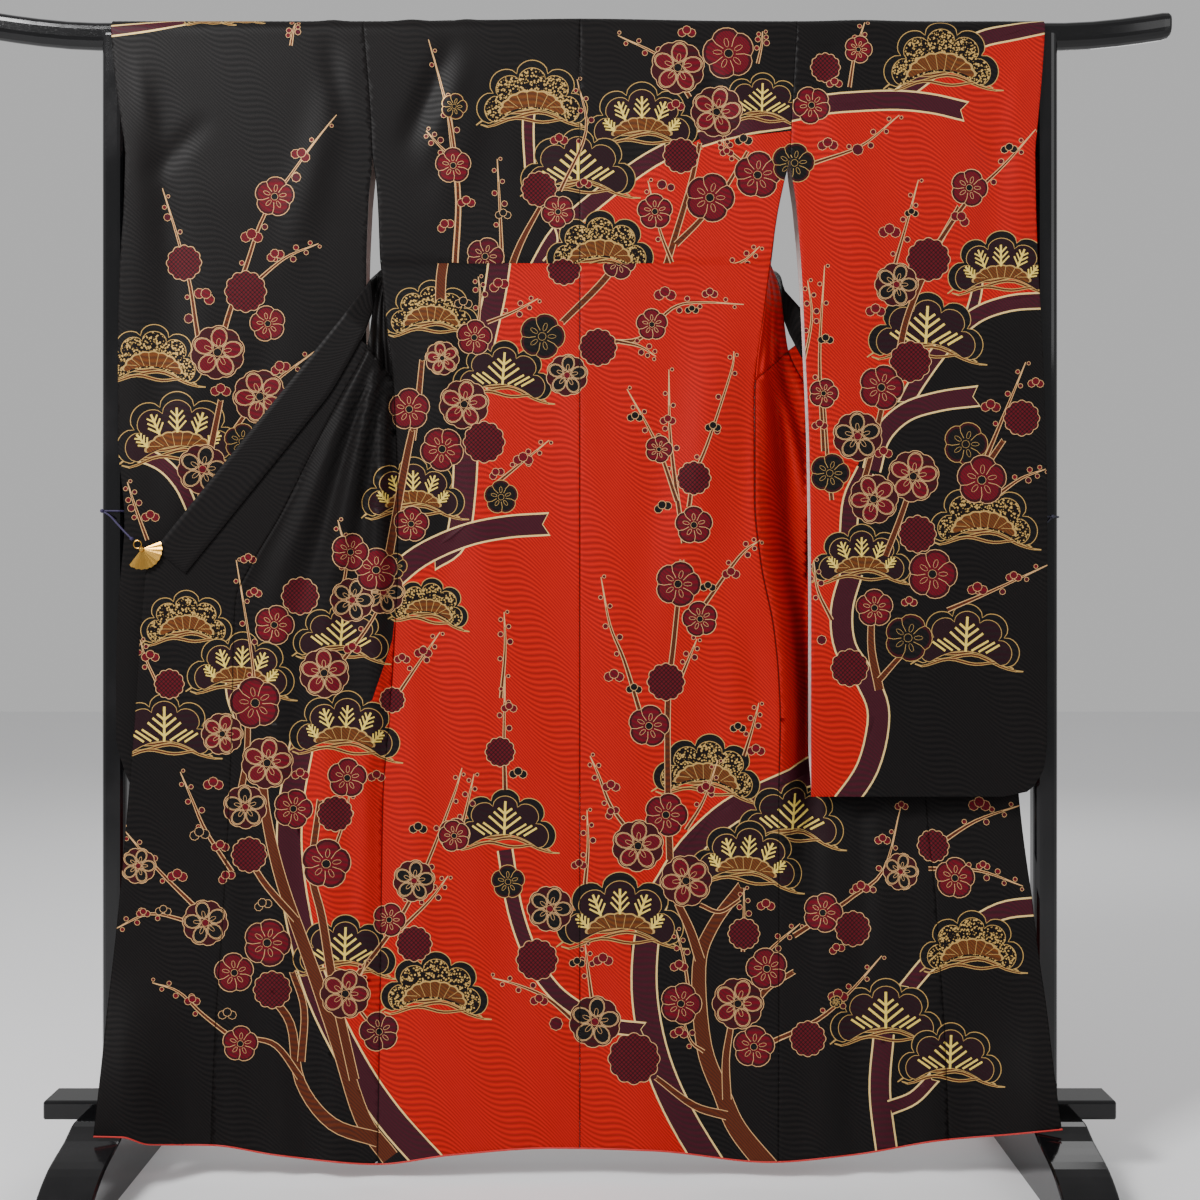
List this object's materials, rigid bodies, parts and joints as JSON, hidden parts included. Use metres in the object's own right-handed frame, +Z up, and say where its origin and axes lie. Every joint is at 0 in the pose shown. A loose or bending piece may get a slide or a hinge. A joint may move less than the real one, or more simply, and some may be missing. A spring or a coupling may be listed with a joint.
{
  "type": "furisode on display stand",
  "caption": "Long-sleeved silk furisode with pine and plum blossom, hung by its shoulders over a lacquered stand and seen from the back, fronts drawn out to the sides",
  "frame": {"origin": "on the floor, under the middle of the stand", "axes": "+X along the bar to the viewer's right, +Y from the viewer through the stand, +Z up"},
  "size_m": [1.682, 0.498, 1.6494],
  "materials": {
    "black_silk": "satin",
    "red_silk": "satin",
    "lacquer": "high gloss black lacquer",
    "gilt": "polished",
    "purple_cord": "matte",
    "navy_cord": "matte"
  },
  "bodies": {
    "root": {"back_left": "black_silk", "back_right": "red_silk", "front_left": "black_silk", "front_right": "black_silk", "okumi_left": "black_silk", "okumi_right": "black_silk", "collar": "black_silk", "sleeve_left": "black_silk", "sleeve_right": "red_silk", "top_bar": "lacquer", "upright_left": "lacquer", "upright_right": "lacquer", "lower_board": "lacquer", "foot_left": "lacquer", "foot_right": "lacquer", "fan_clip": "gilt", "cord_left": "purple_cord", "cord_right": "navy_cord"}
  },
  "joints": []
}
